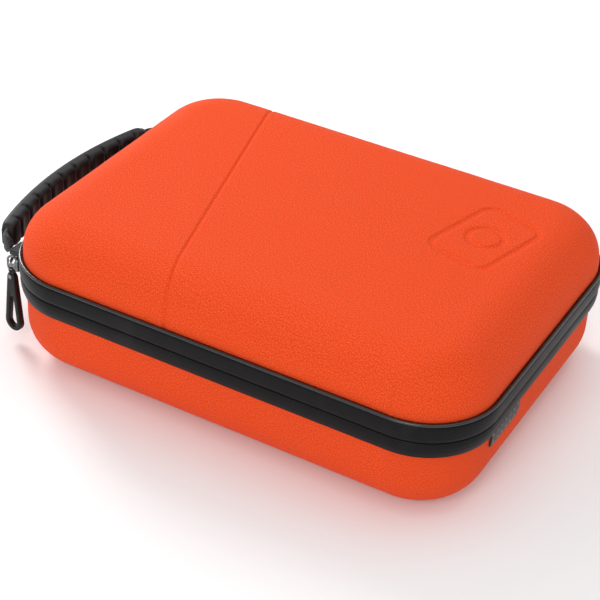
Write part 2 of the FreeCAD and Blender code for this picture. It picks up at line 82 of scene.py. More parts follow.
FRONT_SLIDER_TURN, FRONT_PULL_TURN, BAR_OUT = 22.0, 60.0, 4.7 * MM
LINK_LENGTH, PULL_LENGTH, COIL_PITCH, NET_PITCH = 8.1 * MM, 31 * MM, 1.4 * MM, 3.0 * MM
WORLD_LIGHT, OVERHEAD_LIGHT, SIDE_LIGHT, FRONT_LIGHT = 0.64, 2.6, 5.2, 5.5


# ------------------------------------------------------------------ mesh helpers
def add_object(name, data):
    obj = bpy.data.objects.new(name, data)
    bpy.context.scene.collection.objects.link(obj)
    return obj


def shade_smooth(mesh):
    mesh.polygons.foreach_set("use_smooth", [True] * len(mesh.polygons))


def new_object(name, vertices, faces, material):
    mesh = bpy.data.meshes.new(name)
    mesh.from_pydata([tuple(v) for v in vertices], [], faces)
    mesh.validate()
    mesh.materials.append(material)
    shade_smooth(mesh)
    return add_object(name, mesh)


def from_bmesh(name, source, material):
    """An object from a bmesh, which is freed."""
    data = bpy.data.meshes.new(name)
    source.to_mesh(data)
    source.free()
    data.materials.append(material)
    return add_object(name, data)


def apply_modifiers(obj):
    depsgraph = bpy.context.evaluated_depsgraph_get()
    mesh = bpy.data.meshes.new_from_object(obj.evaluated_get(depsgraph))
    obj.modifiers.clear()
    obj.data = mesh


def face_outwards(obj):
    mesh = bmesh.new()
    mesh.from_mesh(obj.data)
    bmesh.ops.recalc_face_normals(mesh, faces=mesh.faces)
    mesh.to_mesh(obj.data)
    mesh.free()
    return obj


def set_uv(obj, uvs):
    """uvs holds one (u, v) in metres for each face corner, face by face."""
    layer = obj.data.uv_layers.new(name="cloth")
    layer.data.foreach_set("uv", np.asarray(uvs, np.float32).ravel())


def merge(name, parts, material):
    """One object from several (vertices, faces) lists."""
    vertices, faces = [], []
    for some_vertices, some_faces in parts:
        start = len(vertices)
        vertices.extend(some_vertices)
        faces.extend([tuple(i + start for i in f) for f in some_faces])
    return face_outwards(new_object(name, vertices, faces, material))


def tube(sections, closed=False):
    """Skins rings of points; closed joins the last ring to the first."""
    rings, size = len(sections), len(sections[0])
    vertices = [p for ring in sections for p in ring]
    faces = []
    for r in range(rings if closed else rings - 1):
        following = (r + 1) % rings
        for k in range(size):
            step = (k + 1) % size
            faces.append((r * size + k, r * size + step, following * size + step, following * size + k))
    if not closed:
        faces.append(tuple(range(size)))
        faces.append(tuple((rings - 1) * size + k for k in reversed(range(size))))
    return vertices, faces


def running_lengths(points):
    lengths = [0.0]
    for a, b in zip(points, points[1:]):
        lengths.append(lengths[-1] + (b - a).length)
    return lengths


def locate(lengths, distance):
    """The stretch that a distance along a line falls in, and how far along that stretch it is."""
    index = min(len(lengths) - 2, max(0, int(np.searchsorted(lengths, distance, side="right")) - 1))
    return index, (distance - lengths[index]) / max(1e-9, lengths[index + 1] - lengths[index])


# ------------------------------------------------------------------ the case's plan outline
def stations(first_x, last_x, step=2.5 * MM, arc_steps=18):
    """Points round the outline from first_x on the back wall, by the right end, the front and the
    left end, to last_x on the back wall: each is (core point, outward direction)."""
    cx, cy = HALF_X - PLAN_CORNER, HALF_Y - PLAN_CORNER
    found = []

    def straight(a, b, outward):
        count = max(1, round((Vector(b) - Vector(a)).length / step))
        for k in range(count):
            found.append((Vector(a).lerp(Vector(b), k / count), Vector(outward)))

    def arc(core, start_degrees):
        for k in range(arc_steps):
            angle = math.radians(start_degrees - 90 * k / arc_steps)
            found.append((Vector(core), Vector((math.cos(angle), math.sin(angle)))))

    straight((first_x, cy), (cx, cy), (0, 1))
    arc((cx, cy), 90)
    straight((cx, cy), (cx, -cy), (1, 0))
    arc((cx, -cy), 0)
    straight((cx, -cy), (-cx, -cy), (0, -1))
    arc((-cx, -cy), -90)
    straight((-cx, -cy), (-cx, cy), (-1, 0))
    arc((-cx, cy), -180)
    straight((-cx, cy), (last_x, cy), (0, 1))
    found.append((Vector((last_x, cy)), Vector((0, 1))))
    return found


def spine_stations(half, step=2.5 * MM):
    count = round(2 * half / step)
    core_y = HALF_Y - PLAN_CORNER
    return [(Vector((half - 2 * half * k / count, core_y)), Vector((0, 1))) for k in range(count + 1)]


def at_station(station, out, height):
    core, outward = station
    spot = core + outward * (PLAN_CORNER + out)
    return Vector((spot.x, spot.y, height))


def band(name, section, path, material, closed=False, wave=0.0):
    """Sweeps a section of (outwards from the belt's face, height) round the case."""
    sections, length, lengths = [], 0.0, []
    for k, station in enumerate(path):
        here = at_station(station, 0, 0)
        if k:
            length += (here - at_station(path[k - 1], 0, 0)).length
        lengths.append(length)
        sway = wave * (math.sin(length * 61) + 0.6 * math.sin(length * 143 + 1))
        sections.append([at_station(station, out, height + sway) for out, height in section])
    if closed:
        sections, lengths = sections[:-1], lengths[:-1]
    vertices, faces = tube(sections, closed)
    obj = new_object(name, vertices, faces, material)
    around = [0.0]
    for a, b in zip(section, section[1:] + section[:1]):
        around.append(around[-1] + math.dist(a, b))
    size, uvs = len(section), []
    for face in faces:
        if len(face) != 4 or size == 4 and len(set(i // size for i in face)) == 1:
            uvs += [(section[i % size][0], section[i % size][1]) for i in face]
            continue
        wrap_ring = closed and face[2] // size == 0
        wrap_side = face[1] % size == 0
        for slot, index in enumerate(face):
            ring = index // size
            u = lengths[ring] if not (wrap_ring and slot in (2, 3)) else length
            v = around[index % size] if not (wrap_side and slot in (1, 2)) else around[-1]
            uvs.append((u, v))
    set_uv(obj, uvs)
    return face_outwards(obj)


def round_corners(corners, radius, steps=4):
    """A polygon's corners rounded: corners is a list of (x, y)."""
    smooth = []
    for k, corner in enumerate(corners):
        here = Vector(corner)
        before, after = Vector(corners[k - 1]), Vector(corners[(k + 1) % len(corners)])
        into, out = (before - here), (after - here)
        reach = min(radius, into.length * 0.45, out.length * 0.45)
        a, b = here + into.normalized() * reach, here + out.normalized() * reach
        for j in range(steps + 1):
            t = j / steps
            smooth.append(tuple(a * (1 - t) ** 2 + here * 2 * t * (1 - t) + b * t ** 2))
    return smooth


# ------------------------------------------------------------------ moulded shells
def grid_lines(half, coarse, fine=()):
    """Sorted places from -half to half: coarse steps, and finer ones in each (low, high, step)."""
    places = list(np.linspace(-half, half, max(2, round(2 * half / coarse) + 1)))
    for low, high, step in fine:
        low, high = max(low, -half), min(high, half)
        places = [p for p in places if p < low - step or p > high + step]
        places += list(np.arange(low, high + step / 2, step))
    places += [-half, half]
    places = sorted(places)
    kept = [places[0]]
    for p in places[1:]:
        if p - kept[-1] > 0.05 * MM:
            kept.append(p)
    kept[-1] = half
    return kept


def cup(name, profile, lines_x, lines_y, corner_steps, material, shape=None):
    """A closed rounded shell. profile is a list of (inset, height, outside): its first and last
    entries are the rims of two flat caps, and the others are rings between them. lines_x and
    lines_y are the caps' grid lines on the straight part of the walls. shape moves a vertex:
    it gets (position, outward normal, outside) and gives the new position."""
    cx, cy = HALF_X - PLAN_CORNER, HALF_Y - PLAN_CORNER
    steps = [(k + 1) / corner_steps for k in range(corner_steps)]
    columns = [(-cx, -a) for a in reversed(steps)] + [(x, 0) for x in lines_x] + [(cx, a) for a in steps]
    rows = [(-cy, -b) for b in reversed(steps)] + [(y, 0) for y in lines_y] + [(cy, b) for b in steps]
    nx, ny = len(columns), len(rows)

    def place(i, j, radius):
        (bx, a), (by, b) = columns[i], rows[j]
        return (bx + radius * a * math.sqrt(1 - b * b / 2), by + radius * b * math.sqrt(1 - a * a / 2))

    rim = [(i, 0) for i in range(nx)] + [(nx - 1, j) for j in range(1, ny)]
    rim += [(i, ny - 1) for i in range(nx - 2, -1, -1)] + [(0, j) for j in range(ny - 2, 0, -1)]
    vertices, normals, outsides, faces, uvs = [], [], [], [], []
    upright = 1 if profile[0][1] > profile[len(profile) // 2][1] else -1

    def add(point, normal, outside):
        vertices.append(Vector(point))
        normals.append(Vector(normal))
        outsides.append(outside)

    rings = []
    for end, facing in ((profile[0], upright), (profile[-1], -upright)):
        start = len(vertices)
        for i in range(nx):
            for j in range(ny):
                x, y = place(i, j, PLAN_CORNER - end[0])
                add((x, y, end[1]), (0, 0, facing), end[2])
        for i in range(nx - 1):
            for j in range(ny - 1):
                face = tuple(start + n for n in
                             (i * ny + j, (i + 1) * ny + j, (i + 1) * ny + j + 1, i * ny + j + 1))
                faces.append(face)
                uvs += [tuple(vertices[n].xy) for n in face]
        rings.append([start + i * ny + j for i, j in rim])
    first, last = rings
    rings = [first]
    run = [0.0]
    for before, here in zip(profile, profile[1:]):
        run.append(run[-1] + math.dist(before[:2], here[:2]))
    unrolled = []
    for length in run:
        # the cloth is laid out flat round the first cap, so its weave runs on over the edge
        unrolled.append([place(i, j, PLAN_CORNER - profile[0][0] + length) for i, j in rim])
    for k in range(1, len(profile) - 1):
        inset, height, outside = profile[k]
        before, after = profile[k - 1], profile[k + 1]
        lean = Vector((after[1] - before[1], after[0] - before[0]))
        lean = lean.normalized() if lean.length > 0 else Vector((1, 0))
        start = len(vertices)
        for i, j in rim:
            inner = Vector(place(i, j, 0))
            outward = Vector(place(i, j, 1)) - inner
            outward.normalize()
            spot = inner + outward * (PLAN_CORNER - inset)
            tilt = -lean.x * upright
            normal = (outward.x * tilt, outward.y * tilt, -lean.y * upright)
            add((spot.x, spot.y, height), normal, outside)
        rings.append(list(range(start, start + len(rim))))
    rings.append(last)
    count = len(rim)
    for r, (upper, lower) in enumerate(zip(rings, rings[1:])):
        for k in range(count):
            following = (k + 1) % count
            faces.append((upper[k], lower[k], lower[following], upper[following]))
            uvs += [unrolled[r][k], unrolled[r + 1][k], unrolled[r + 1][following],
                    unrolled[r][following]]
    if shape:
        moved = [shape(v, n, o) for v, n, o in zip(vertices, normals, outsides)]
        loops = [n for face in faces for n in face]
        # the weave moves with the cloth, so it isn't squeezed where the grid leans
        uvs = [(u + moved[n].x - vertices[n].x, v + moved[n].y - vertices[n].y)
               for (u, v), n in zip(uvs, loops)]
        vertices = moved
    obj = new_object(name, vertices, faces, material)
    set_uv(obj, uvs)
    return face_outwards(obj)


def quarter(inset, height, radius, sign, steps, outside):
    """Points of a rounded edge, from the flat cap to the wall; sign is 1 for a lid's top."""
    points = []
    for k in range(steps + 1):
        angle = math.pi / 2 * k / steps
        points.append((inset + radius * (1 - math.sin(angle)),
                       height - sign * radius * (1 - math.cos(angle)), outside))
    return points


# ------------------------------------------------------------------ materials
class Paint:
    """A node material; colours are linear, and lengths are metres."""

    def __init__(self, name, roughness, coordinates="Object", **sockets):
        self.material = bpy.data.materials.new(name)
        self.material.use_nodes = True
        self.tree = self.material.node_tree
        self.shader = self.tree.nodes["Principled BSDF"]
        for socket, value in sockets.items():
            self.shader.inputs[socket.replace("_", " ")].default_value = value
        where = self.node("ShaderNodeTexCoord")
        self.where = where.outputs[coordinates]
        self.rough = roughness

    def node(self, kind, **settings):
        made = self.tree.nodes.new(kind)
        for key, value in settings.items():
            setattr(made, key, value)
        return made

    def join(self, source, target):
        if isinstance(source, (int, float)):
            target.default_value = source
        else:
            self.tree.links.new(source, target)

    def maths(self, operation, first, second=0.0):
        made = self.node("ShaderNodeMath", operation=operation)
        self.join(first, made.inputs[0])
        self.join(second, made.inputs[1])
        return made.outputs[0]

    def noise(self, size, detail=3.0, stretch=(1, 1, 1)):
        """Noise from 0 to 1 with lumps of that size."""
        place = self.node("ShaderNodeMapping")
        place.inputs["Scale"].default_value = stretch
        self.join(self.where, place.inputs["Vector"])
        made = self.node("ShaderNodeTexNoise")
        made.inputs["Scale"].default_value = 1 / size
        made.inputs["Detail"].default_value = detail
        self.join(place.outputs[0], made.inputs["Vector"])
        return made.outputs["Fac"]

    def wave(self, axis, pitch, shift=0.0):
        """A sine from -1 to 1 along one axis; shift is another value added to the phase."""
        split = self.node("ShaderNodeSeparateXYZ")
        self.join(self.where, split.inputs[0])
        phase = self.maths("MULTIPLY", split.outputs[axis], 2 * math.pi / pitch)
        return self.maths("SINE", self.maths("ADD", phase, shift))

    def colours(self, *stops):
        """The first colour is the ground, and each (factor, low, high, colour) is laid over it,
        from nothing where the factor is low to all where it is high."""
        ground = self.node("ShaderNodeRGB")
        ground.outputs[0].default_value = (*stops[0], 1)
        current = ground.outputs[0]
        for factor, low, high, colour in stops[1:]:
            spread = self.node("ShaderNodeMapRange")
            spread.inputs["From Min"].default_value = low
            spread.inputs["From Max"].default_value = high
            self.join(factor, spread.inputs["Value"])
            mix = self.node("ShaderNodeMix", data_type="RGBA")
            self.join(spread.outputs[0], mix.inputs["Factor"])
            self.join(current, mix.inputs["A"])
            mix.inputs["B"].default_value = (*colour, 1)
            current = mix.outputs["Result"]
        self.join(current, self.shader.inputs["Base Color"])

    def rough_by(self, factor, low, high):
        spread = self.node("ShaderNodeMapRange")
        spread.inputs["To Min"].default_value = low
        spread.inputs["To Max"].default_value = high
        self.join(factor, spread.inputs["Value"])
        self.join(spread.outputs[0], self.shader.inputs["Roughness"])

    def bumps(self, *layers):
        """Each layer is (height from 0 to 1, depth in metres)."""
        normal = None
        for height, depth in layers:
            made = self.node("ShaderNodeBump")
            made.inputs["Distance"].default_value = depth
            self.join(height, made.inputs["Height"])
            if normal:
                self.join(normal, made.inputs["Normal"])
            normal = made.outputs[0]
        self.join(normal, self.shader.inputs["Normal"])

    def edges(self):
        """0 in hollows, 0.5 on flats, 1 on sharp edges."""
        return self.node("ShaderNodeNewGeometry").outputs["Pointiness"]


def shell_material():
    paint = Paint("orange_woven_polyester", 0.8, "UV", Sheen_Weight=0.02, Sheen_Roughness=0.45,
                  Specular_IOR_Level=0.09)
    wobble = paint.maths("MULTIPLY", paint.noise(14 * MM, 2), 5.0)
    warp = paint.wave(0, YARN, wobble)
    weft = paint.wave(1, YARN, wobble)
    weave = paint.maths("MULTIPLY", warp, weft)
    slub = paint.noise(0.5 * MM, 2, (1, 0.75, 1))
    cloud = paint.noise(45 * MM, 2)
    paint.colours(ORANGE, (weave, -1.0, 1.2, ORANGE_LIGHT), (slub, 0.47, 0.78, ORANGE_DEEP),
                  (slub, 0.49, 0.22, ORANGE_PALE), (cloud, 0.45, 1.4, ORANGE_WARM))
    paint.rough_by(slub, 0.62, 0.85)
    paint.bumps((slub, 0.05 * MM), (weave, 0.05 * MM))
    return paint.material


def tape_material():
    paint = Paint("black_coated_tape", 0.42, "UV", Specular_IOR_Level=0.12)
    rib = paint.wave(1, 0.9 * MM)
    grain = paint.noise(0.5 * MM, 2, (0.4, 1, 1))
    cloud = paint.noise(18 * MM, 2)
    paint.colours(BLACK, (grain, 0.45, 0.9, BLACK_LIGHT), (cloud, 0.55, 0.9, BLACK_DUSTY))
    paint.rough_by(cloud, 0.36, 0.52)
    paint.bumps((grain, 0.03 * MM), (rib, 0.006 * MM))
    return paint.material


def piping_material():
    paint = Paint("black_gloss_piping", 0.25, "UV", Specular_IOR_Level=0.75)
    cloud = paint.noise(7 * MM, 2)
    grain = paint.noise(0.5 * MM, 2)
    paint.colours(BLACK, (cloud, 0.5, 0.9, BLACK_DUSTY))
    paint.rough_by(cloud, 0.2, 0.34)
    paint.bumps((grain, 0.004 * MM))
    return paint.material


def rubber_material():
    paint = Paint("black_satin_rubber", 0.45, "Object", Specular_IOR_Level=0.25)
    grain = paint.noise(0.35 * MM, 2)
    cloud = paint.noise(9 * MM, 3)
    paint.colours(BLACK, (cloud, 0.5, 0.9, BLACK_DUSTY), (paint.edges(), 0.53, 0.66, GREY_WORN))
    paint.rough_by(cloud, 0.38, 0.55)
    paint.bumps((grain, 0.02 * MM))
    return paint.material


def webbing_material():
    paint = Paint("black_webbing", 0.7, "Object", Sheen_Weight=0.2, Sheen_Roughness=0.4)
    across = paint.wave(1, 1.1 * MM)
    high = paint.wave(2, 1.1 * MM)
    side = paint.wave(0, 1.1 * MM)
    weave = paint.maths("MULTIPLY", paint.maths("ADD", across, side), high)
    fibre = paint.noise(0.5 * MM, 2)
    paint.colours(BLACK, (weave, 0.0, 2.5, BLACK_DUSTY), (fibre, 0.6, 0.9, GREY_WORN))
    paint.rough_by(fibre, 0.5, 0.85)
    paint.bumps((weave, 0.05 * MM), (fibre, 0.05 * MM))
    return paint.material


def knit_material():
    paint = Paint("black_brushed_knit", 0.9, "Object", Sheen_Weight=0.4, Sheen_Roughness=0.5)
    nap = paint.noise(0.9 * MM, 4)
    patch = paint.noise(22 * MM, 3)
    paint.colours(CHARCOAL, (nap, 0.5, 0.85, GREY_WORN), (patch, 0.5, 0.9, BLACK_DUSTY))
    paint.rough_by(nap, 0.8, 0.98)
    paint.bumps((nap, 0.25 * MM))
    return paint.material


def foam_material():
    paint = Paint("black_foam", 0.92, "Object")
    cell = paint.node("ShaderNodeTexVoronoi")
    cell.inputs["Scale"].default_value = 1 / (1.1 * MM)
    paint.join(paint.where, cell.inputs["Vector"])
    patch = paint.noise(26 * MM, 3)
    paint.colours(CHARCOAL, (cell.outputs["Distance"], 0.3, 0.9, GREY_WORN),
                  (patch, 0.5, 0.9, BLACK_DUSTY), (paint.edges(), 0.52, 0.62, GREY_WORN))
    paint.rough_by(patch, 0.85, 0.98)
    paint.bumps((cell.outputs["Distance"], 0.2 * MM))
    return paint.material


def cord_material(name):
    paint = Paint(name, 0.45, "Object", Specular_IOR_Level=0.5)
    grain = paint.noise(0.6 * MM, 2)
    paint.colours(BLACK, (grain, 0.5, 0.9, BLACK_DUSTY), (paint.edges(), 0.55, 0.7, GREY_WORN))
    paint.rough_by(grain, 0.35, 0.6)
    paint.bumps((grain, 0.02 * MM))
    return paint.material


def metal_material():
    paint = Paint("gunmetal", 0.3, "Object", Metallic=1.0)
    smear = paint.noise(3 * MM, 3)
    scratch = paint.noise(0.6 * MM, 2, (1, 1, 0.15))
    paint.colours(GUNMETAL, (smear, 0.4, 0.9, GUNMETAL_LIGHT), (paint.edges(), 0.53, 0.66, STEEL))
    paint.rough_by(smear, 0.2, 0.42)
    paint.bumps((scratch, 0.01 * MM))
    return paint.material


def tag_material():
    """A woven label with a row of small diamonds."""
    paint = Paint("woven_label", 0.6, "UV", Sheen_Weight=0.15)
    grain = paint.maths("MULTIPLY", paint.wave(0, 0.5 * MM), paint.wave(1, 0.5 * MM))
    row = paint.maths("ABSOLUTE", paint.wave(0, 8 * MM))
    lift = paint.maths("ABSOLUTE", paint.wave(1, 7 * MM))
    diamond = paint.maths("ADD", row, lift)
    paint.colours(BLACK, (diamond, 1.72, 1.78, LABEL_GREY), (grain, 0.2, 1.6, BLACK_DUSTY))
    paint.rough_by(paint.noise(2 * MM), 0.5, 0.7)
    paint.bumps((grain, 0.04 * MM), (diamond, 0.05 * MM))
    return paint.material


def floor_material():
    paint = Paint("pale_floor", 0.85, "Object", Specular_IOR_Level=0.15)
    cloud = paint.noise(0.4, 2)
    paint.colours((0.97, 0.97, 0.97), (cloud, 0.4, 1.0, (0.95, 0.95, 0.955)))
    paint.rough_by(cloud, 0.8, 0.9)
    return paint.material


YARN = 0.55 * MM
ORANGE, ORANGE_LIGHT = (0.82, 0.060, 0.0105), (0.93, 0.095, 0.020)
ORANGE_DEEP, ORANGE_WARM, ORANGE_PALE = (0.60, 0.036, 0.007), (0.86, 0.072, 0.013), (0.95, 0.15, 0.037)
BLACK, BLACK_LIGHT, BLACK_DUSTY = (0.006, 0.006, 0.007), (0.012, 0.012, 0.013), (0.017, 0.017, 0.018)
GREY_WORN, CHARCOAL, LABEL_GREY = (0.055, 0.055, 0.058), (0.016, 0.016, 0.017), (0.13, 0.13, 0.135)
GUNMETAL, GUNMETAL_LIGHT, STEEL = (0.16, 0.16, 0.165), (0.32, 0.32, 0.33), (0.7, 0.7, 0.71)
FABRIC, TAPE, RUBBER, PIPING = shell_material(), tape_material(), rubber_material(), piping_material()
WEBBING, KNIT, FOAM = webbing_material(), knit_material(), foam_material()
COIL, NET = cord_material("nylon_coil"), cord_material("nylon_net")
METAL, LABEL = metal_material(), tag_material()


# ------------------------------------------------------------------ lid and base
def smoothstep(low, high, value):
    t = min(1.0, max(0.0, (value - low) / (high - low)))
    return t * t * (3 - 2 * t)


def badge_depth(x, y):
    """1 on the lines of the camera pictogram, 0 off them."""
    turn = math.radians(BADGE_TURN)
    dx, dy = x - BADGE_X, y - BADGE_Y
    u = dx * math.cos(turn) + dy * math.sin(turn)
    v = -dx * math.sin(turn) + dy * math.cos(turn)
    qx = abs(u) - BADGE_LENGTH / 2 + BADGE_CORNER
    qy = abs(v) - BADGE_WIDTH / 2 + BADGE_CORNER
    frame_line = math.hypot(max(qx, 0), max(qy, 0)) + min(max(qx, qy), 0) - BADGE_CORNER
    ring_line = math.hypot(u, v) - BADGE_LENS
    nearest = min(abs(frame_line + BADGE_LINE / 2), abs(ring_line + BADGE_LINE / 2)) - BADGE_LINE / 2
    return 1 - smoothstep(-0.25 * MM, 0.45 * MM, nearest)


def groove_share(x):
    """How far the grid leans with the groove: all the way at the groove, not at all at the corners."""
    near, fade = 5 * MM, 75 * MM
    away = x + GROOVE_X
    if abs(away) < near:
        return 1.0
    span = HALF_X - PLAN_CORNER - GROOVE_X - near if away < 0 else fade
    return max(0.0, 1 - (abs(away) - near) / span)


def pillow_edge(inset, height, reach, drop, steps):
    """The lid's rounded edge: a superellipse, so that it leaves the flat top without a crease."""
    points = []
    for k in range(steps + 1):
        angle = math.pi / 2 * (1 - k / steps)
        across = max(0.0, math.cos(angle)) ** (2 / EDGE_POWER)
        up = math.sin(angle) ** (2 / EDGE_POWER) if angle > 0 else 0.0
        points.append((inset + reach * (1 - across), height - drop * (1 - up), True))
    return points


def lid_shape(point, normal, outside):
    lean = math.tan(math.radians(GROOVE_TURN))
    x = point.x - lean * point.y * groove_share(point.x)
    spot = Vector((x, point.y, point.z))
    if not outside:
        return spot
    off = abs(x + GROOVE_X + lean * point.y) * math.cos(math.radians(GROOVE_TURN))
    depth = DEBOSS * (1 - smoothstep(0.3 * MM, 1.15 * MM, off))
    if point.z > LID_HIGH.z - 4 * MM:
        depth = max(depth, DEBOSS * badge_depth(x, point.y))
    bow_x, bow_y = 1 - (x / (HALF_X - 8 * MM)) ** 2, 1 - (point.y / (HALF_Y - 8 * MM)) ** 2
    if bow_x > 0 and bow_y > 0:
        spot.z += CROWN * (bow_x * bow_y) ** 1.5
    ripple = 0.10 * MM * noise.noise(spot / (23 * MM)) + 0.05 * MM * noise.noise(spot / (7 * MM))
    return spot + normal * (ripple - depth)


def base_shape(point, normal, outside):
    if not outside:
        return point.copy()
    ripple = 0.08 * MM * noise.noise(point / (25 * MM)) + 0.04 * MM * noise.noise(point / (8 * MM))
    return point + normal * (-abs(ripple))


def shell_profile(inset, flat, radius, rim, sign):
    """Outside from the flat face to the rim, then back along the inside."""
    outside = quarter(inset, flat, radius, sign, 14, True)
    if sign > 0:
        outside = pillow_edge(inset, flat, EDGE_REACH, radius, 48)
    wall_top = flat - sign * radius
    outside += [(inset, wall_top + (rim - wall_top) * share, True) for share in (0.25, 0.5, 0.75, 0.95)]
    across = [(inset + 0.4 * MM, rim, False), (inset + WALL - 0.4 * MM, rim, False)]
    inside = quarter(inset + WALL, flat - sign * WALL, radius - WALL, sign, 8, False)
    inner_wall = [(inset + WALL, rim + sign * 0.6 * MM, False),
                  (inset + WALL, (rim + inside[-1][1]) / 2, False)]
    return outside + across + inner_wall + inside[::-1]


def make_shells():
    straight_x, straight_y = HALF_X - PLAN_CORNER, HALF_Y - PLAN_CORNER
    near = 0.32 * MM
    fine_x = [(-GROOVE_X - 2.2 * MM, -GROOVE_X + 2.2 * MM, near)]
    fine_x += [(BADGE_X - 24 * MM, straight_x, BADGE_CELL)]
    fine_y = [(BADGE_Y - 28 * MM, BADGE_Y + 28 * MM, BADGE_CELL)]
    lid = cup("lid_skin", shell_profile(LID_INSET, LID_HIGH.z, LID_ROUND, LID_LOW.z, 1),
              grid_lines(straight_x, 4 * MM, fine_x), grid_lines(straight_y, 4 * MM, fine_y), 16,
              FABRIC, lid_shape)
    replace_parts(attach(lid, "lid"), "lid_shell")
    base = cup("base_skin", shell_profile(BASE_INSET, 0.0, BASE_ROUND, BASE_HIGH.z, -1),
               grid_lines(straight_x, 3 * MM), grid_lines(straight_y, 3 * MM), 16, FABRIC, base_shape)
    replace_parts(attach(base, "base"), "base_shell")


def make_linings():
    straight_x, straight_y = HALF_X - PLAN_CORNER, HALF_Y - PLAN_CORNER

    def soften(point, normal, outside):
        if outside:
            return point.copy()
        return point + normal * (0.12 * MM * noise.noise(point / (12 * MM)))

    for name, body, node, inset, flat, radius, rim, sign in (
            ("lid_knit", "lid", "lid_lining", LID_INSET + WALL, LID_HIGH.z - WALL, LID_ROUND - WALL,
             LID_LOW.z, 1),
            ("base_knit", "base", "base_lining", BASE_INSET + WALL, WALL, BASE_ROUND - WALL,
             BASE_HIGH.z, -1)):
        outer = quarter(inset, flat, radius, sign, 8, True) + [(inset, rim, True)]
        inner = quarter(inset + LINING, flat - sign * LINING, radius - LINING, sign, 8, False)
        profile = outer + [(inset + LINING, rim, False)] + inner[::-1]
        piece = cup(name, profile, grid_lines(straight_x, 4 * MM), grid_lines(straight_y, 4 * MM), 12,
                    KNIT, soften)
        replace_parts(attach(piece, body), node)


# ------------------------------------------------------------------ zip belt
def offsets(level, *pairs):
    """Section points from millimetres: how far out of the belt's face, and how far above level."""
    return [(out * MM, level + up * MM) for out, up in pairs]


def make_belt():
    open_path = stations(SPINE_END + 0.4 * MM, -SPINE_END - 0.4 * MM)
    ring_path = stations(0, 0)
    top, bottom = TAPE_HIGH.z, LOWER_LOW.z
    upper = offsets(top, (-0.25, 0), (0.12, -1.2), (0.22, -3.5), (0.10, -6))
    upper += offsets(SEAM, (-0.35, 0.35), (-1.0, 0.2), (-1.8, 0.3), (-1.8, 1.1), (-3.5, 1.1),
                     (-3.5, 1.35), (-1.8, 1.35))
    upper += offsets(top, (-1.8, 0))
    lower = offsets(SEAM, (-0.6, -0.2), (-0.35, -0.7), (-0.15, -2.5), (-0.45, -5))
    lower += offsets(bottom, (-1.3, 0.2), (-2.7, 0))
    lower += offsets(SEAM, (-2.7, -1.35), (-3.5, -1.35), (-3.5, -1.1), (-2.0, -1.1), (-1.8, -0.2))
    for name, body, node, section in (("zip_band_upper", "lid", "zip_tape_upper", upper),
                                      ("zip_band_lower", "base", "zip_tape_lower", lower)):
        piece = band(name, round_corners(section, 0.5 * MM, 3), open_path, TAPE, wave=0.03 * MM)
        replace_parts(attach(piece, body), node)
    low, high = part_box("lid_piping")
    middle, radius = (low.z + high.z) / 2, (high.z - low.z) / 2
    bead = [(-0.55 * MM + radius * math.cos(a) * 1.05, middle + radius * math.sin(a))
            for a in np.linspace(-0.75 * math.pi, 0.75 * math.pi, 13)]
    bead += [(-LID_INSET, middle + radius * 0.5), (-LID_INSET, middle - radius * 0.5)]
    piece = band("piping_bead", bead, ring_path, PIPING, closed=True)
    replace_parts(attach(piece, "lid"), "lid_piping")
    for name, body, node in (("rim_tape_upper", "lid", "lid_rim_binding"),
                             ("rim_tape_lower", "base", "base_rim_binding")):
        low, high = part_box(node)
        out, wide = low.x + HALF_X, 3.6 * MM
        section = round_corners([(-out, low.z), (-out, high.z), (-out - wide, high.z),
                                 (-out - wide, low.z)], 0.4 * MM)
        piece = band(name, section, ring_path, WEBBING, closed=True, wave=0.03 * MM)
        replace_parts(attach(piece, body), node)


def make_spine():
    """One strip of tape along the back, where the lid turns."""
    top, bottom = TAPE_HIGH.z, LOWER_LOW.z
    outside = offsets(top, (-0.25, 0), (0.12, -1.2), (0.2, -3.5))
    outside += offsets(SEAM, *((-0.05, up) for up in np.arange(3, -3.1, -0.5)), (-0.25, -5))
    outside += offsets(bottom, (-1.0, 0))
    inside = offsets(bottom, (-1.8, 0))
    inside += offsets(SEAM, *((-1.2, up) for up in np.arange(-3, 3.1, 0.5)))
    inside += offsets(top, (-1.8, 0))
    piece = band("spine_strip", outside + inside, spine_stations(SPINE_END), TAPE, wave=0.02 * MM)
    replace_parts(piece, "spine_upper", "spine_lower")
    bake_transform(piece)


def make_coil(name, body, node, side):
    """The zip's spiral: one wire wound along the tape's edge."""
    path = stations(SPINE_END + 2 * MM, -SPINE_END - 2 * MM, 0.5 * MM, 100)
    spots = [at_station(s, -3.12 * MM, 0) for s in path]
    outs = [s[1] for s in path]
    lengths = running_lengths(spots)
    steps = 10
    count = int(lengths[-1] / COIL_PITCH * steps)
    middle = SEAM + side * 0.66 * MM
    line = []
    for k in range(count):
        along = lengths[-1] * k / count
        index, share = locate(lengths, along)
        spot = spots[index].lerp(spots[index + 1], share)
        out = outs[index].lerp(outs[index + 1], share).normalized()
        angle = 2 * math.pi * k / steps
        spot += Vector((out.x, out.y, 0)) * (0.3 * MM * math.cos(angle))
        line.append(Vector((spot.x, spot.y, middle + 0.3 * MM * math.sin(angle))))
    section = [(0.12 * MM * math.cos(a), 0.12 * MM * math.sin(a)) for a in (0, 1.57, 3.14, 4.71)]
    piece = face_outwards(new_object(name, *sweep(line, lambda k: section, Vector((0, 0, 1))), COIL))
    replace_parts(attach(piece, body), node)


def joint(name):
    """Where a joint's axis is, in metres."""
    row = next(j for j in frame["record"]["behaviour"]["joints"] if j["name"] == name)
    return Vector(row["pos_m"])


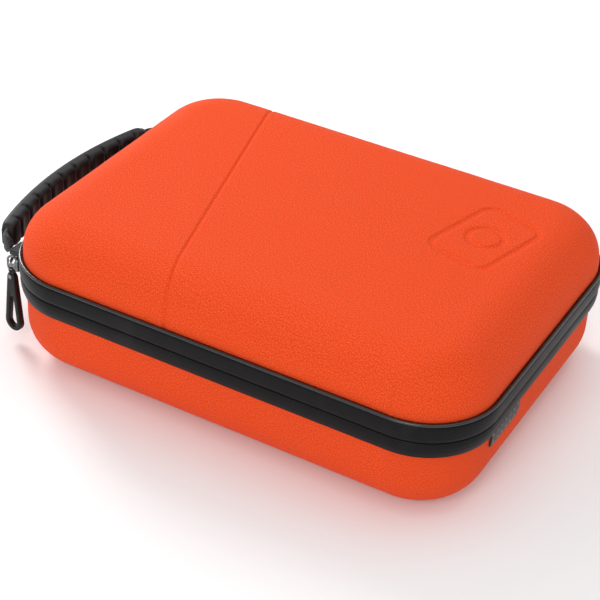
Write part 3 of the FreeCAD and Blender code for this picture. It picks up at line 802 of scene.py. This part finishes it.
def sweep(path, section, up, closed=False):
    """section(k) gives the ring at point k as (across, lift), with lift along up."""
    rings, count = [], len(path)
    for k, point in enumerate(path):
        before = path[k - 1] if k or closed else point
        after = path[(k + 1) % count] if k < count - 1 or closed else point
        across = (after - before).cross(up)
        across.normalize()
        rings.append([point + across * u + up * v for u, v in section(k)])
    return tube(rings, closed)


def oval(half_u, half_v, count=20, power=0.6):
    """A section between an ellipse (power 1) and a rectangle (power near 0)."""
    ring = []
    for k in range(count):
        c, s = math.cos(2 * math.pi * k / count), math.sin(2 * math.pi * k / count)
        ring.append((half_u * math.copysign(abs(c) ** power, c),
                     half_v * math.copysign(abs(s) ** power, s)))
    return ring


def pillow(name, low, high, edge, material):
    """A small sewn patch: a block with round edges and a slightly uneven face."""
    cell, ripple = 0.6 * MM, 0.05 * MM
    mesh = bmesh.new()
    bmesh.ops.create_cube(mesh, size=1.0)
    size, middle = high - low, (low + high) / 2
    for vertex in mesh.verts:
        vertex.co = vertex.co * size + middle
    bmesh.ops.bevel(mesh, geom=mesh.edges[:], offset=edge, segments=3, profile=0.5, affect="EDGES")
    for axis in range(3):
        spot = low[axis] + cell
        while spot < high[axis] - cell:
            plane = Vector((0, 0, 0))
            plane[axis] = 1.0
            where = middle.copy()
            where[axis] = spot
            bmesh.ops.bisect_plane(mesh, geom=mesh.verts[:] + mesh.edges[:] + mesh.faces[:],
                                   plane_co=where, plane_no=plane)
            spot += max(cell, size[axis] / 40)
    for vertex in mesh.verts:
        vertex.co += (vertex.co - middle).normalized() * ripple * noise.noise(vertex.co / (1.5 * MM))
    obj = from_bmesh(name, mesh, material)
    shade_smooth(obj.data)
    return face_outwards(obj)


def stitches(name, path, out, material, length=2.2 * MM, gap=1.0 * MM, radius=0.16 * MM):
    """A row of thread stitches along a path, standing a little proud of the surface."""
    lengths = running_lengths(path)
    parts, along = [], gap

    def point(distance):
        index, share = locate(lengths, distance)
        return path[index].lerp(path[index + 1], share)

    while along + length < lengths[-1]:
        line = [point(along + length * t / 6) + out * radius * 1.2 * math.sin(math.pi * t / 6)
                for t in range(7)]
        sizes = [radius * (0.55 + 0.45 * math.sin(math.pi * t / 6)) for t in range(7)]
        parts.append(sweep(line, lambda k: oval(sizes[k], sizes[k], 8, 1.0), out))
        along += length + gap
    return merge(name, parts, material)


# ------------------------------------------------------------------ handle
def handle_frame():
    """Root line's place, the grip's radius and centre, and half its angle."""
    root = joint("handle_swing")
    radius = ((GRIP_LENGTH / 2) ** 2 + GRIP_SAG ** 2) / (2 * GRIP_SAG)
    return root, radius, HANDLE_REACH - radius, math.asin(GRIP_LENGTH / 2 / radius)


def handle_point(out, along):
    """out is away from the case, along is towards the back."""
    root = handle_frame()[0]
    return Vector((root.x - out, root.y + along, root.z))


def make_grip():
    """Moulded rubber with a finger notch at each rib on the side towards the case."""
    radius, centre, half = handle_frame()[1:]
    steps = 220
    path, sizes = [], []
    for k in range(steps + 1):
        angle = half * (2 * k / steps - 1)
        path.append(handle_point(centre + radius * math.cos(angle), radius * math.sin(angle)))
        sizes.append(radius * angle)
    base = round_corners([(GRIP_HALF_THICK * u, GRIP_HALF_HEIGHT * v)
                          for u, v in ((1, 1), (-1, 1), (-1, -1), (1, -1))], GRIP_CORNER, 6)

    def section(k):
        along = sizes[k]
        end = min(1.0, max(0.0, (GRIP_LENGTH / 2 - abs(along)) / (5 * MM)))
        taper = 0.8 + 0.2 * math.sqrt(end * (2 - end))
        share = (along / RIB_PITCH) % 1.0
        notch = math.exp(-((share - 0.5) / 0.09) ** 2)
        calm = smoothstep(GRIP_LENGTH / 2 - 3 * MM, GRIP_LENGTH / 2 - 8 * MM, abs(along))
        ring = []
        for u, v in base:
            # sweep() measures across towards the case, so the fingers' side is the positive one
            inner = smoothstep(0.8 * MM, 3.2 * MM, u)
            shoulder = smoothstep(3.2 * MM, 5.2 * MM, abs(v))
            cut = calm * notch * inner * (0.9 + 1.3 * shoulder) * MM
            swell = calm * 0.4 * MM * math.sin(math.pi * share) ** 2 * inner
            drop = calm * notch * smoothstep(1.4 * MM, 3.2 * MM, u) * shoulder * 1.2 * MM
            ring.append(((u - cut + swell) * taper, (v - math.copysign(drop, v)) * taper))
        return ring

    grip = face_outwards(new_object("grip_rubber", *sweep(path, section, Vector((0, 0, 1))), RUBBER))
    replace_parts(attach(grip, "handle"), "handle_grip")


def make_webbing():
    """Ribbed strap from root to root, through the grip."""
    root, radius, centre, half = handle_frame()
    end = Vector((centre + radius * math.cos(half), radius * math.sin(half)))
    along = Vector((-math.sin(half), math.cos(half)))
    foot = Vector((0, ROOT_SPAN / 2))
    knee = end + along * ((foot.y - end.y) / along.y * 0.8)
    into = knee.lerp(end, 0.75)
    out = knee.lerp(foot, 0.75)
    bend = [into * (1 - t) ** 2 + knee * 2 * t * (1 - t) + out * t ** 2
            for t in np.linspace(0, 1, 14)]
    side = [end.lerp(into, t) for t in np.linspace(0, 1, 4)[:-1]] + bend
    side += [out.lerp(foot, t) for t in np.linspace(0, 1, 5)[1:]]
    arc = [Vector((centre + radius * math.cos(a), radius * math.sin(a)))
           for a in np.linspace(-half, half, 40)[1:-1]]
    flat = [Vector((p.x, -p.y)) for p in reversed(side)] + arc + side
    path = [handle_point(p.x, p.y) for p in flat]

    def section(k):
        out_by = flat[k].x
        spread = smoothstep(-1.5 * MM, 3.5 * MM, out_by)
        foot = -(STRAP_ROOT + (STRAP_HEIGHT - STRAP_ROOT) * spread) / 2
        rise = smoothstep(-1.0 * MM, 2.0 * MM, out_by)
        head = STRAP_ROOT_HEAD + (STRAP_HEIGHT / 2 - STRAP_ROOT_HEAD) * rise
        ring = []
        rows = 36
        for face in (1, -1):
            for j in range(rows + 1):
                share = j / rows * face + (0 if face > 0 else 1)
                edge = min(share, 1 - share) * 8
                rib = STRAP_RIB_DEPTH * math.cos(2 * math.pi * STRAP_RIBS * (share - 0.5))
                out = STRAP_HALF_THICK * math.sqrt(min(1.0, edge + 0.15)) + rib * min(1.0, edge)
                ring.append((face * out, foot + (head - foot) * share))
        return ring

    skin = sweep(path, section, Vector((0, 0, 1)))
    strap = face_outwards(new_object("strap_webbing", *skin, WEBBING))
    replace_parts(strap, "handle_webbing")
    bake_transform(strap)
    narrow = Vector((0, 1 * MM, 0))
    for name, node in (("strap_anchor_front", "handle_ear_front"),
                       ("strap_anchor_back", "handle_ear_back")):
        low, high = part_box(node)
        ear = pillow(name, low + narrow, high - narrow, 0.25 * MM, WEBBING)
        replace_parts(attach(ear, "lid"), node)


# ------------------------------------------------------------------ sliders and pulls
def slider_place(prefix):
    """Matrix from a slider's own frame (X out of the tape, Y along the zip) to the case's."""
    if prefix == "rear":
        low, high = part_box("rear_slider")
        spot = Vector((-HALF_X, (low.y + high.y) / 2, SEAM))
        return Matrix.Translation(spot) @ Matrix.Rotation(math.pi, 4, "Z")
    turn = math.pi + math.radians(FRONT_SLIDER_TURN)
    corner = Vector((PLAN_CORNER - HALF_X, PLAN_CORNER - HALF_Y, SEAM))
    spot = corner + PLAN_CORNER * Vector((math.cos(turn), math.sin(turn), 0))
    return Matrix.Translation(spot) @ Matrix.Rotation(turn, 4, "Z")


def rounded_plate(long, tall, low, high, edge, rings=6, count=64):
    """A plate with soft edges in the YZ plane, from x = low to x = high."""
    sections = []
    profile = [(low + edge * (1 - math.cos(a)), edge * (math.sin(a) - 1)) for a in
                np.linspace(0, math.pi / 2, rings)]
    profile += [(high - edge * (1 - math.sin(a)), -edge * (1 - math.cos(a))) for a in
                np.linspace(0, math.pi / 2, rings)]
    for x, inset in profile:
        ring = oval(long / 2 + inset, tall / 2 + inset, count, 0.62)
        # waisted between its two mouths, as a slider is
        sections.append([Vector((x, u, v * (1 - 0.10 * math.cos(math.pi * u / long))))
                         for u, v in ring])
    return tube(sections)


def make_slider(prefix, pull_turn):
    place = slider_place(prefix)
    plate = rounded_plate(SLIDER_LENGTH, SLIDER_HEIGHT, 0.4 * MM, 1.9 * MM, 0.45 * MM)
    half, peak, wire = 4.3 * MM, BAR_OUT, 0.62 * MM
    rising = [(1.5 * MM, 1), (peak * 0.75, 1), (peak, 0.72)]
    arch = [Vector((out, -half * share, 0)) for out, share in rising + [(peak, 0)]]
    arch += [Vector((out, half * share, 0)) for out, share in reversed(rising)]
    bridge = sweep(smooth_line(arch, 8), lambda k: oval(wire, 0.8 * MM, 14, 0.75), Vector((0, 0, 1)))
    nose = rounded_plate(2.6 * MM, 3.4 * MM, 1.6 * MM, 2.5 * MM, 0.3 * MM, 4, 28)
    parts = [plate, bridge]
    for shift in (-half, half):
        parts.append(([v + Vector((0, shift, 0)) for v in nose[0]], nose[1]))
    slider = merge(prefix + "_slider_body", parts, METAL)
    slider.data.transform(place)
    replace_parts(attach(slider, prefix + "_slider"), prefix + "_slider")

    # the link's wire runs 2.35 mm inside its two ends
    ring_radius, reach = 1.8 * MM, LINK_LENGTH - 2 * 2.35 * MM
    loop = [Vector((peak + ring_radius * math.sin(a), 0, ring_radius * math.cos(a)))
            for a in np.linspace(-math.pi / 2, math.pi / 2, 14)]
    loop += [Vector((peak + ring_radius, 0, -reach * t)) for t in np.linspace(0, 1, 6)[1:-1]]
    loop += [Vector((peak + ring_radius * math.cos(a), 0, -reach - ring_radius * math.sin(a)))
             for a in np.linspace(0, math.pi, 14)]
    loop += [Vector((peak - ring_radius, 0, -reach * t)) for t in np.linspace(1, 0, 6)[1:-1]]
    link = face_outwards(new_object(prefix + "_wire_link", *sweep(
        loop, lambda k: oval(0.5 * MM, 0.52 * MM, 14, 0.85), Vector((0, 1, 0)), closed=True), METAL))
    link.data.transform(place)
    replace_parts(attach(link, prefix + "_link"), prefix + "_link")

    top = COLLAR_RADIUS + 1.1 * MM - LINK_LENGTH
    hang = place @ Matrix.Translation((peak, 0, top - 0.5 * MM)) @ Matrix.Rotation(
        math.radians(pull_turn), 4, "Z")
    pull = pull_mesh(prefix + "_pull_loop")
    pull.data.transform(hang)
    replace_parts(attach(pull, prefix + "_pull"), prefix + "_pull")
    head = rounded_plate(1.9 * MM, 1.9 * MM, -2.0 * MM, 2.0 * MM, 0.5 * MM, 5, 24)
    rivet = face_outwards(new_object(prefix + "_pull_rivet", *head, METAL))
    rivet.data.transform(hang @ Matrix.Translation((0, 0, -2.2 * MM)))
    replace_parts(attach(rivet, prefix + "_pull"), prefix + "_rivet")


def smooth_line(points, steps):
    """A Catmull-Rom line through the points."""
    line = []
    for k in range(len(points) - 1):
        p0, p1 = points[max(0, k - 1)], points[k]
        p2, p3 = points[k + 1], points[min(len(points) - 1, k + 2)]
        for j in range(steps):
            t = j / steps
            line.append(0.5 * ((2 * p1) + (p2 - p0) * t + (2 * p0 - 5 * p1 + 4 * p2 - p3) * t * t
                               + (3 * p1 - p0 - 3 * p2 + p3) * t ** 3))
    return line + [points[-1]]


def pull_mesh(name):
    """A moulded rubber loop, narrow at the top, with an eye round the link and a slot below."""
    neck, wide, wall, thick = 2.2 * MM, 4.7 * MM, 2.3 * MM, 3.0 * MM
    foot = wide - PULL_LENGTH
    count = 96

    def outline(top_radius, bottom_radius, top_z, bottom_z):
        lean = math.asin((bottom_radius - top_radius) / (top_z - bottom_z))
        points, upper = [], count // 4
        for k in range(upper):
            a = lean + (math.pi - 2 * lean) * k / upper
            points.append(Vector((0, top_radius * math.cos(a), top_z + top_radius * math.sin(a))))
        start = Vector((0, -top_radius * math.cos(lean), top_z + top_radius * math.sin(lean)))
        end = Vector((0, -bottom_radius * math.cos(lean), bottom_z + bottom_radius * math.sin(lean)))
        points += [start.lerp(end, k / upper) for k in range(upper)]
        for k in range(upper):
            a = math.pi - lean + (math.pi + 2 * lean) * k / upper
            points.append(Vector((0, bottom_radius * math.cos(a),
                                  bottom_z + bottom_radius * math.sin(a))))
        flip = Vector((1, -1, 1))
        points += [end.lerp(start, k / upper) * flip for k in range(upper)]
        return points

    outer = outline(neck, wide, -neck, foot)
    inner = outline(neck * 0.45, wide - wall, -0.45 * PULL_LENGTH, foot)
    rings = []
    for a, b in zip(outer, inner):
        middle, reach = (a + b) / 2, (a - b) / 2
        rings.append([middle + reach * u + Vector((v, 0, 0))
                      for u, v in oval(1, thick / 2, 24, 0.45)])
    parts = [tube(rings, closed=True)]
    collar = [Vector((0, COLLAR_RADIUS * math.sin(a), 0.85 * MM + COLLAR_RADIUS * math.cos(a)))
              for a in np.linspace(0, 2 * math.pi, 25)[:-1]]
    parts.append(sweep(collar, lambda k: oval(0.55 * MM, 1.0 * MM, 12, 0.7), Vector((1, 0, 0)),
                       closed=True))
    return merge(name, parts, RUBBER)


# ------------------------------------------------------------------ small sewn parts
def make_patches():
    low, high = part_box("side_tag")
    rows, columns, thick = 14, 40, high.x - low.x
    sections = []
    for j in range(columns + 1):
        y = low.y + (high.y - low.y) * j / columns
        curl = 0.5 * MM * math.sin(math.pi * j / columns) ** 0.5
        ring = []
        for face in (1, -1):
            for i in range(rows + 1):
                share = i / rows if face > 0 else 1 - i / rows
                bulge = 0.25 * MM * math.sin(math.pi * share) + curl * (1 - share) * 0.6
                x = low.x + 0.15 * MM + bulge + (thick * 0.8 if face > 0 else 0)
                ring.append(Vector((x, y, low.z + (high.z - low.z) * share)))
        sections.append(ring)
    vertices, faces = tube(sections)
    tag = new_object("woven_side_tag", vertices, faces, LABEL)
    set_uv(tag, [(vertices[i].y - low.y, vertices[i].z - low.z) for face in faces for i in face])
    face_outwards(tag)
    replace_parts(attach(tag, "base"), "side_tag")
    seam = [Vector((high.x + 0.25 * MM, y, high.z - 1 * MM)) for y in (low.y + 1 * MM, high.y - 1 * MM)]
    thread = stitches("side_tag_stitches", seam, Vector((1, 0, 0)), COIL, 1.6 * MM, 0.8 * MM, 0.13 * MM)
    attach(thread, "base")
    for side in ("left", "right"):
        low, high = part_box("zip_end_tab_" + side)
        tab = pillow("end_tab_" + side, low, high, 0.2 * MM, WEBBING)
        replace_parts(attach(tab, "base"), "zip_end_tab_" + side)
        line = [Vector((x, high.y + 0.02 * MM, (low.z + high.z) / 2 + z * (high.z - low.z) * 0.36))
                for x, z in ((low.x + 1 * MM, -1), (high.x - 1 * MM, 1))]
        other = [Vector((line[1].x, line[0].y, line[0].z)), Vector((line[0].x, line[0].y, line[1].z))]
        for number, run in enumerate((line, other)):
            thread = stitches("end_tab_%s_stitches_%d" % (side, number), run, Vector((0, 1, 0)), COIL,
                              1.2 * MM, 0.5 * MM, 0.12 * MM)
            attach(thread, "base")


# ------------------------------------------------------------------ contents
def soft_copy(name, node, voxel, rounds, material):
    """A CAD block with its edges worn soft: remeshed, then smoothed."""
    source = frame["nodes"][node]
    whole = bmesh.new()
    whole.from_mesh(source.data)
    bmesh.ops.remove_doubles(whole, verts=whole.verts, dist=0.001 * MM)
    obj = from_bmesh(name, whole, material)
    remesh = obj.modifiers.new("voxels", "REMESH")
    remesh.mode, remesh.voxel_size, remesh.use_smooth_shade = "VOXEL", voxel, True
    smooth = obj.modifiers.new("soften", "SMOOTH")
    smooth.factor, smooth.iterations = 0.5, rounds
    apply_modifiers(obj)
    mesh = obj.data
    if not mesh.materials:
        mesh.materials.append(material)
    normals = [vertex.normal.copy() for vertex in mesh.vertices]
    for vertex, normal in zip(mesh.vertices, normals):
        vertex.co -= normal * (0.08 * MM + 0.08 * MM * noise.noise(vertex.co / (9 * MM)))
    shade_smooth(mesh)
    return obj


def make_foam():
    for name, node, voxel, rounds in (("cut_foam_insert", "foam_insert", 1.5 * MM, 3),
                                      ("foam_floor_pad", "floor_pad", 1.2 * MM, 1)):
        piece = soft_copy(name, node, voxel, rounds, FOAM)
        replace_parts(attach(piece, "base"), node)


def inside_plan(x, y, inset):
    """Whether a point is inside the plan outline set in by inset."""
    qx, qy = abs(x) - (HALF_X - PLAN_CORNER), abs(y) - (HALF_Y - PLAN_CORNER)
    radius = PLAN_CORNER - inset
    if qx <= 0 or qy <= 0:
        return qx <= radius and qy <= radius
    return math.hypot(qx, qy) <= radius


def make_pocket():
    """A net panel under the lid, with a tape round three sides and an elastic hem in front."""
    low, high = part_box("mesh_pocket")
    middle = (low + high) / 2
    cell = NET_PITCH / math.sqrt(3)
    mesh = bmesh.new()
    corners = {}

    def corner(x, y):
        key = (round(x / (0.01 * MM)), round(y / (0.01 * MM)))
        if key not in corners:
            sideways = (y - middle.y) / (high.y - middle.y)
            sag = 1.6 * MM * (1 - (x / high.x) ** 2) * (1 - sideways ** 2)
            corners[key] = mesh.verts.new((x, y, middle.z - sag))
        return corners[key]

    rows = int((high.y - low.y) / (1.5 * cell)) + 1
    columns = int((high.x - low.x) / NET_PITCH) + 1
    for row in range(rows):
        for column in range(columns):
            x = low.x + NET_PITCH * (column + 0.5 * (row % 2))
            y = low.y + 1.5 * cell * (row + 0.3)
            if not inside_plan(x, y, 8.6 * MM) or y < low.y or y > high.y - 1 * MM:
                continue
            mesh.faces.new([corner(x + cell * math.sin(a), y + cell * math.cos(a))
                            for a in [math.pi / 3 * k for k in range(6)]])
    net = from_bmesh("pocket_net", mesh, NET)
    strands = net.modifiers.new("strands", "WIREFRAME")
    strands.thickness, strands.use_even_offset, strands.use_boundary = 1.0 * MM, False, True
    apply_modifiers(net)
    face_outwards(net)
    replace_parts(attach(net, "lid"), "mesh_pocket")

    whole = stations(0, 0)[:-1]
    first = next(k for k in range(len(whole)) if at_station(whole[k], 0, 0).y < low.y
                 and whole[k][1].x < 0 and at_station(whole[(k + 1) % len(whole)], 0, 0).y >= low.y)
    order = whole[first:] + whole[:first]
    path = [s for s in order if at_station(s, 0, 0).y >= low.y]
    inset = LID_INSET + WALL + LINING
    edge_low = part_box("pocket_binding")[0].z
    section = round_corners(offsets(edge_low, *((-inset / MM - wide, up) for wide, up in
                                                ((0, 0), (0, 0.9), (4, 0.9), (4, 0)))), 0.35 * MM)
    tape = band("pocket_tape", section, path, WEBBING, wave=0.05 * MM)
    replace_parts(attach(tape, "lid"), "pocket_binding")

    low_hem, high_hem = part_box("pocket_hem")
    centre = (low_hem + high_hem) / 2
    line = [Vector((x, centre.y + 0.35 * MM * math.sin(x / (2.3 * MM)), centre.z))
            for x in np.linspace(low_hem.x + 1 * MM, high_hem.x - 1 * MM, 340)]
    ruche = [0.12 * MM * math.sin(p.x / (0.75 * MM)) for p in line]
    hem = face_outwards(new_object("pocket_elastic_hem", *sweep(
        line, lambda k: oval(2.9 * MM, 0.66 * MM + ruche[k], 22, 0.5), Vector((0, 0, 1))), WEBBING))
    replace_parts(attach(hem, "lid"), "pocket_hem")


# ------------------------------------------------------------------ floor, light and camera
def area_light(name, place, target, size, power):
    light = bpy.data.lights.new(name, "AREA")
    light.shape, light.size, light.energy = "DISK", size, power
    obj = add_object(name, light)
    obj.location = place
    obj.rotation_euler = (Vector(target) - Vector(place)).to_track_quat("-Z", "Y").to_euler()


def make_studio():
    reach, cells = 6.0, 24
    grid = bmesh.new()
    bmesh.ops.create_grid(grid, x_segments=cells, y_segments=cells, size=reach)
    floor = from_bmesh("floor", grid, floor_material())
    floor.location = (0, 0, -0.2 * MM)
    world = bpy.data.worlds.new("studio")
    bpy.context.scene.world = world
    world.use_nodes = True
    background = world.node_tree.nodes["Background"]
    background.inputs["Color"].default_value = (1, 1, 1, 1)
    background.inputs["Strength"].default_value = WORLD_LIGHT
    area_light("overhead", (0.1, 0.1, 1.3), (0, 0, 0), 1.1, OVERHEAD_LIGHT)
    area_light("left_back", (-0.8, 0.35, 0.55), (0, 0, 0.04), 0.35, SIDE_LIGHT)
    area_light("front", (0.2, -1.2, 0.8), (0, 0, 0.04), 0.7, FRONT_LIGHT)


def make_camera():
    azimuth, elevation, roll = (math.radians(a) for a in (27.77, 34.53, 3.43))
    distance, target = 0.77645, Vector((-0.0071, 0.00334, 0.02245))
    level = Vector((math.cos(azimuth), math.sin(azimuth), 0))
    towards = Vector((math.sin(azimuth) * math.cos(elevation), -math.cos(azimuth) * math.cos(elevation),
                      math.sin(elevation)))
    upward = towards.cross(level)
    right = level * math.cos(roll) + upward * math.sin(roll)
    top = upward * math.cos(roll) - level * math.sin(roll)
    data = bpy.data.cameras.new("camera")
    data.lens, data.sensor_width, data.clip_start = 103.8, 36.0, 0.01
    camera = add_object("camera", data)
    turned = Matrix((right, top, towards)).transposed().to_4x4()
    camera.matrix_world = Matrix.Translation(target + towards * distance) @ turned
    bpy.context.scene.camera = camera
    bpy.context.scene.view_settings.view_transform = "Standard"


make_camera()
make_studio()
make_shells()
make_linings()
make_belt()
make_spine()
make_coil("zip_spiral_upper", "lid", "zip_coil_upper", 1)
make_coil("zip_spiral_lower", "base", "zip_coil_lower", -1)
make_grip()
make_webbing()
make_slider("rear", 0)
make_slider("front", FRONT_PULL_TURN)
make_patches()
make_foam()
make_pocket()
